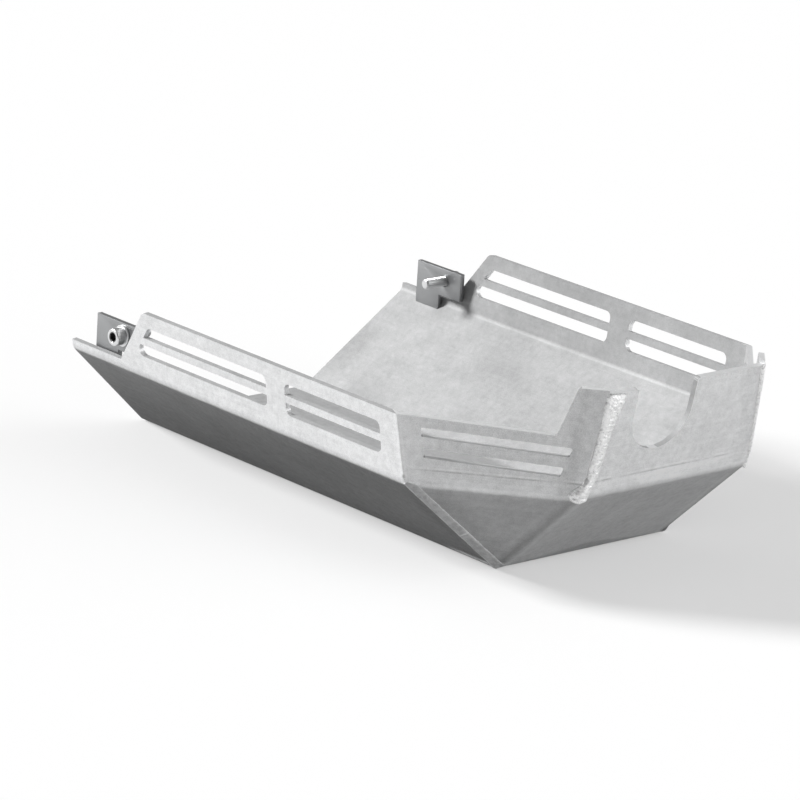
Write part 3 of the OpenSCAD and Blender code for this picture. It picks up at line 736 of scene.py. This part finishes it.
class SKID_OT_nose_welds(bpy.types.Operator):
    """Lays the two heavy beads between a corner wall and the front wall, ripple by ripple"""
    bl_idname = "skid.nose_welds"
    bl_label = "Nose welds"

    def execute(self, context):
        metal = weld_finish()
        for name, side in SIDES:
            self.bead(context.scene.skid_welds, name, side, metal)
        return {"FINISHED"}

    def bead(self, weld, name, side, metal):
        """One bead. It starts in a blob wrapped round the waist corner, turns onto the front wall, and runs up beside
        the edge to a flared blob at the top. The far one is dressed and slimmer."""
        at = tray_points(side)
        length = (at["nose_peak"] - at["nose"]).length
        slim, over = (1.0, weld.bead_shift) if side < 0 else (weld.far_share, weld.far_shift)
        start, stop = -weld.foot_low, length + weld.overrun
        count = int((stop - start) / weld.ring_pitch)
        rings = []
        for step in range(count + 1):
            rise = start + (stop - start) * step / count
            share = held(rise / length)
            wobble = lumpy(rise * 160, side * 3.1, 0.4)
            top_blob = hump(rise, length - 0.002, weld.flare_long)
            foot_blob = hump(rise, weld.foot_at, weld.foot_long)
            half = weld.bead_half * (weld.low_width + weld.widening * share ** 1.3 + weld.flare * top_blob
                                     + 0.04 * wobble) + weld.foot_half * foot_blob
            proud = weld.bead_proud * (1 + 0.06 * wobble + 0.05 * top_blob + 0.30 * foot_blob)
            turned = soft_step(held((rise - weld.foot_at) / weld.foot_turn))
            shift = over * turned + weld.creep * share + weld.wander * wobble + weld.top_shift * top_blob ** 2

            # Both ends are rounded, and the bead flattens over its last part.
            low_end = max(0.0, (weld.foot_at - rise) / (weld.foot_low + weld.foot_at + 0.0001))
            top_end = max(0.0, 1 - (stop - rise) / weld.end_long)
            closing = slim * math.sqrt(max(0.01, 1 - low_end ** 2.6)) * math.sqrt(max(0.02, 1 - 0.6 * top_end ** 2))
            root = 0.5 + max(0.0, -rise) * 1.4 / proud
            fade = max(0.0, 1 - (stop - rise) / weld.flat_long)
            flat = math.sqrt(1 - 0.72 * fade ** 2)
            soft = WRAP + 0.0050 * foot_blob
            rings.append(self.ring(weld, rise, shift * slim, half * closing, proud * flat * closing, root, soft, side))
        finished(tube(rings, BEAD_SIDES), "heavy_bead_" + name, "nose_weld_" + name, "weld_metal", metal)

    def ring(self, weld, rise, shift, half, proud, root, soft, side):
        """A ring of the bead: an oval laid on the walls, with chevron ripples and lumps, over a root under them."""
        def point(turn):
            across, up = math.cos(turn), math.sin(turn)
            phase = rise / weld.ripple + 0.30 * lumpy(rise * 260, side, 2.0) + 0.55 * across ** 2
            valley = weld.ripple_deep * (0.5 - 0.5 * math.cos(math.tau * phase)) ** 0.7
            lump = weld.lump * lumpy(rise * 420, across * 2.4, side * 7.0)
            grit = weld.grit * lumpy(rise * 1300, across * 6.0, side * 3.0)
            grow = max(up, 0.0) * (lump + grit - valley) / weld.bead_proud
            spot, out = beside_joint(side, rise, shift + half * across * (1 + 0.4 * grow), soft)
            return spot + out * proud * (up ** weld.toe * (1 + grow) if up > 0 else root * up)
        return point


class SKID_OT_corner_welds(bpy.types.Operator):
    """Lays the two ground seams between a side and its corner panel"""
    bl_idname = "skid.corner_welds"
    bl_label = "Corner welds"

    def execute(self, context):
        metal = ground_seam_finish()
        for name, side in SIDES:
            self.seam(context.scene.skid_welds, name, side, metal)
        return {"FINISHED"}

    def seam(self, weld, name, side, metal):
        """One seam down the joint of flank and corner panel. It is drawn in at both ends."""
        at, face = tray_points(side), panel_normals(side)
        down = (at["floor"] - at["joint"]).normalized()
        length = (at["floor"] - at["joint"]).length
        outward = (face["flank"] + face["gusset"]).normalized()
        across = {key: face[key].cross(down) for key in ("flank", "gusset")}
        for key, toward in (("flank", "gusset"), ("gusset", "flank")):
            if across[key].dot(face[toward]) > 0:
                across[key] = -across[key]
        rings = []
        for step in range(SEAM_RINGS + 1):
            share = step / SEAM_RINGS
            run = weld.seam_gap + (length - 2 * weld.seam_gap) * share
            shake = weld.seam_shake * lumpy(share * 16, side * 2.0, 0.2)
            shiver = weld.seam_shake / 2 * lumpy(share * 60, side * 5.0, 0.9)
            drawn_in = min(1.0, 0.3 + share * 12)
            reach_in = (weld.seam_in + shake + shiver) * drawn_in
            reach_out = (weld.seam_out * (0.96 + 0.12 * share) + shake - shiver) * drawn_in
            ends = min(1.0, 0.10 + min(share, 1 - share) * 14)
            lift = (weld.seam_proud + weld.cross_proud * hump(run, weld.seam_cross, weld.cross_wide)) * ends
            spine = at["joint"] + down * run
            a, b = spine + across["flank"] * reach_in, spine + across["gusset"] * reach_out
            rings.append(self.ring(a, b, spine, outward * lift, outward * weld.seam_root))
        bm = tube(rings, SEAM_SIDES)
        grain = bm.loops.layers.uv.new("seam")
        for vert in bm.verts:
            place = vert.co - at["joint"]
            over, inward = place.dot(across["gusset"]), place.dot(across["flank"])
            for loop in vert.link_loops:
                loop[grain].uv = (place.dot(down), over if over > inward else -inward)
        finished(bm, "ground_seam_" + name, "corner_weld_" + name, "weld_metal", metal)

    def ring(self, a, b, spine, lift, root):
        """A ring of the seam: a thin skin over both panels with its ridge dressed round, and a back under them."""
        middle = (spine - a).length / ((spine - a).length + (b - spine).length)

        def point(turn):
            share = (1 - math.cos(turn)) / 2
            if share < middle:
                base = a.lerp(spine, share / middle)
            else:
                base = spine.lerp(b, (share - middle) / (1 - middle))
            if math.sin(turn) >= 0:
                return base + lift * (1 - abs(2 * share - 1) ** 6)
            return base - root * math.sin(math.pi * share)
        return point


class SKID_OT_brackets(bpy.types.Operator):
    """Dresses the two rear brackets with eased edges and their finish"""
    bl_idname = "skid.brackets"
    bl_label = "Rear brackets"

    def execute(self, context):
        metal = bracket_finish()
        for name, _ in SIDES:
            eased_piece("bracket_" + name, "rear_bracket_" + name, "bracket_aluminium", 0.0004, math.radians(30), metal)
        return {"FINISHED"}


class SKID_OT_screws(bpy.types.Operator):
    """Turns the two socket screws with knurled heads, hexagon sockets and threads, and their washers"""
    bl_idname = "skid.screws"
    bl_label = "Screws and washers"

    def execute(self, context):
        plated, dull = plated_finish("bright_zinc", 0.34), plated_finish("dull_zinc", 0.40)
        dark = socket_shade_finish()
        for name, side in SIDES:
            eased_piece("washer_" + name, "bracket_washer_" + name, "plated_steel", 0.00025, math.radians(40), dull)
            self.screw(context.scene.skid_screw, name, side, plated, dark)
        return {"FINISHED"}

    def screw(self, make, name, side, metal, dark):
        """One screw, turned from the tip of its shank to the bottom of its socket."""
        low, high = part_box("bracket_screw_" + name)
        middle = (low + high) / 2
        head = (high.x - low.x) / 2
        inner, total = low.y if side > 0 else high.y, high.y - low.y
        neck, floor = total - make.head_high, total - make.socket_deep
        shank, deep = make.shank, make.pitch * 0.55
        core = shank - deep

        def ring(height, radius):
            """A ring round the screw's axis, at a height over the tip of the shank."""
            return lambda turn: Vector((
                middle.x + radius(turn) * math.cos(turn), inner + side * height,
                middle.z + radius(turn) * math.sin(turn)))

        def rounds(*profile):
            """Round rings, each given by its height and radius."""
            return [ring(height, lambda turn, r=radius: r) for height, radius in profile]

        def knurl(turn):
            return head - make.knurl_deep * (0.5 + 0.5 * math.cos(turn * make.teeth))

        def hexagon(turn):
            return make.socket / 2 / math.cos((turn + math.pi / 6) % (math.pi / 3) - math.pi / 6)

        def thread(height):
            """The thread's radius. It runs out at the neck and is chamfered at the tip."""
            run_out, tip = min(1.0, (neck - height) / 0.002), min(1.0, height / 0.0009)

            def radius(turn):
                phase = (height / make.pitch - side * turn / math.tau) % 1.0
                rise = held(2.4 * (1 - abs(2 * phase - 1)) - 0.45)
                return min(shank - deep * (1 - rise) * run_out, shank - deep * (1 - tip) - 0.0001)
            return radius

        rings = rounds((0.0, core - 0.0004), (0.00005, core - 0.0002))
        for step in range(THREAD_RINGS + 1):
            height = 0.0003 + (neck - 0.0012) * step / THREAD_RINGS
            rings.append(ring(height, thread(height)))
        rings += rounds((neck - 0.0004, shank - 0.0001), (neck, shank), (neck, head - 0.0006),
                        (neck + 0.0002, head - 0.0002), (neck + 0.0009, head - 0.0001))
        rings += [ring(height, knurl) for height in (neck + 0.0013, neck + 0.0040, total - 0.0016)]
        rings += rounds((total - 0.0012, head - 0.0001), (total - 0.0007, head - 0.0001),
                        (total - 0.0002, head - 0.0005), (total, head - 0.0010),
                        (total, make.socket_lip + 0.0002), (total - 0.0001, make.socket_lip))
        rings += [ring(height, hexagon) for height in (total - 0.0006, floor)]
        rings += rounds((floor - 0.0012, 0.0004))
        bm = tube(rings, SCREW_SIDES)
        # Faces inside the socket take the painted shade.
        for face in bm.faces:
            spot = face.calc_center_median()
            away = math.hypot(spot.x - middle.x, spot.z - middle.z)
            in_socket = abs(spot.y - inner) > neck + 0.002 and away < make.socket_lip - 0.0001
            face.material_index = 1 if in_socket else 0
        piece = finished(bm, "cap_screw_" + name, "bracket_screw_" + name, "plated_steel", metal, dark)
        smooth_by_angle(piece, math.radians(40))


class SKID_OT_stage(bpy.types.Operator):
    """Sets the floor, the world, the key lamp and the camera"""
    bl_idname = "skid.stage"
    bl_label = "Stage"

    def execute(self, context):
        stage = context.scene.skid_stage
        bm = bmesh.new()
        bmesh.ops.create_grid(bm, x_segments=2, y_segments=2, size=stage.floor_half)
        bmesh.ops.translate(bm, verts=bm.verts, vec=(0, 0, -stage.floor_drop))
        floor = placed("floor", meshed(bm, "floor"))
        floor.data.materials.append(self.floor_finish(stage))
        self.world(context, stage)
        self.lamp(stage)
        self.camera(context, stage)
        context.scene.view_settings.view_transform = "Standard"
        return {"FINISHED"}

    def floor_finish(self, stage):
        """Pale where it is seen, also in metal, and darker for the light that it throws back."""
        f = Finish("pale_floor")
        ray = f.node("ShaderNodeLightPath").socket.node.outputs
        camera, mirrored, through = (Wire(f, ray[f"Is {kind} Ray"]) for kind in ("Camera", "Glossy", "Transmission"))
        seen = (camera + mirrored + through).lower(1.0)
        pale, glow = seen * (stage.floor_seen - stage.floor_bounce) + stage.floor_bounce, seen * stage.floor_glow
        lit = f.node("ShaderNodeBsdfDiffuse", None, f.joined(pale, pale, pale))
        glowing = f.node("ShaderNodeEmission", None, f.joined(glow, glow, glow), 1.0)
        return f.ended(f.node("ShaderNodeAddShader", None, lit, glowing))

    def world(self, context, stage):
        """A pale studio: even air, a wide soft panel low at the front left and a dark flag at the front right."""
        context.scene.world = bpy.data.worlds.new("studio")
        f = Finish(context.scene.world)
        sky = f.node("ShaderNodeTexCoord", output="Generated")

        def patch(toward, full, end):
            """1 within the angle full of a direction and 0 beyond the angle end."""
            facing = f.vectors("DOT_PRODUCT", sky, tuple(Vector(toward).normalized()), output="Value")
            return f.band(facing, math.cos(end), math.cos(full))

        panel = patch(stage.panel_toward, stage.panel_full, stage.panel_end)
        flag = patch(stage.flag_toward, stage.flag_full, stage.flag_end)
        level = panel * stage.panel - flag * stage.flag
        f.ended(f.node("ShaderNodeBackground", None, Color=(1, 1, 1, 1), Strength=level + stage.air))

    def lamp(self, stage):
        """The key lamp, over the rear right."""
        toward = Vector(stage.key_toward)
        light = bpy.data.lights.new("key", "SUN")
        light.energy, light.angle = stage.key, stage.key_wide
        lamp = placed("key", light)
        lamp.rotation_euler = toward.to_track_quat("Z", "Y").to_euler()
        lamp.location = toward * 3

    def camera(self, context, stage):
        """The photo's camera, from the front right."""
        az, el, roll = stage.azimuth, stage.elevation, stage.roll
        back = Vector((math.cos(az) * math.cos(el), -math.sin(az) * math.cos(el), math.sin(el)))
        right = Vector((math.sin(az), math.cos(az), 0))
        up = back.cross(right)
        across = math.cos(roll) * right + math.sin(roll) * up
        upward = -math.sin(roll) * right + math.cos(roll) * up
        spot = Vector(stage.aim) + back * stage.distance
        data = bpy.data.cameras.new("camera")
        data.lens, data.sensor_width, data.clip_end = stage.lens, stage.sensor, 60.0
        camera = placed("camera", data)
        camera.matrix_world = Matrix((
            (across.x, upward.x, back.x, spot.x), (across.y, upward.y, back.y, spot.y),
            (across.z, upward.z, back.z, spot.z), (0, 0, 0, 1)))
        context.scene.camera = camera


class SKID_PT_panel(bpy.types.Panel):
    """Lists the steps that dress the skid plate"""
    bl_idname = "SKID_PT_panel"
    bl_label = "Skid Plate"
    bl_space_type = "VIEW_3D"
    bl_region_type = "UI"
    bl_category = "Skid Plate"

    def draw(self, context):
        for step in STEPS:
            self.layout.operator(step.bl_idname)
        for group in GROUPS:
            owner = getattr(context.scene, group)
            for key in owner.__annotations__:
                self.layout.prop(owner, key)


GROUPS = {"skid_tray": SkidTray, "skid_welds": SkidWelds, "skid_finish": SkidFinish, "skid_screw": SkidScrew,
          "skid_stage": SkidStage}
STEPS = (SKID_OT_sheet, SKID_OT_nose_welds, SKID_OT_corner_welds, SKID_OT_brackets, SKID_OT_screws, SKID_OT_stage)


def register():
    for name, group in GROUPS.items():
        bpy.utils.register_class(group)
        setattr(bpy.types.Scene, name, PointerProperty(type=group))
    for cls in STEPS + (SKID_PT_panel,):
        bpy.utils.register_class(cls)


def unregister():
    for cls in reversed(STEPS + (SKID_PT_panel,)):
        bpy.utils.unregister_class(cls)
    for name, group in GROUPS.items():
        delattr(bpy.types.Scene, name)
        bpy.utils.unregister_class(group)


def main():
    register()
    bpy.ops.skid.stage()
    bpy.ops.skid.sheet()
    bpy.ops.skid.nose_welds()
    bpy.ops.skid.corner_welds()
    bpy.ops.skid.brackets()
    bpy.ops.skid.screws()
    bpy.context.view_layer.update()


if __name__ == "__main__":
    main()
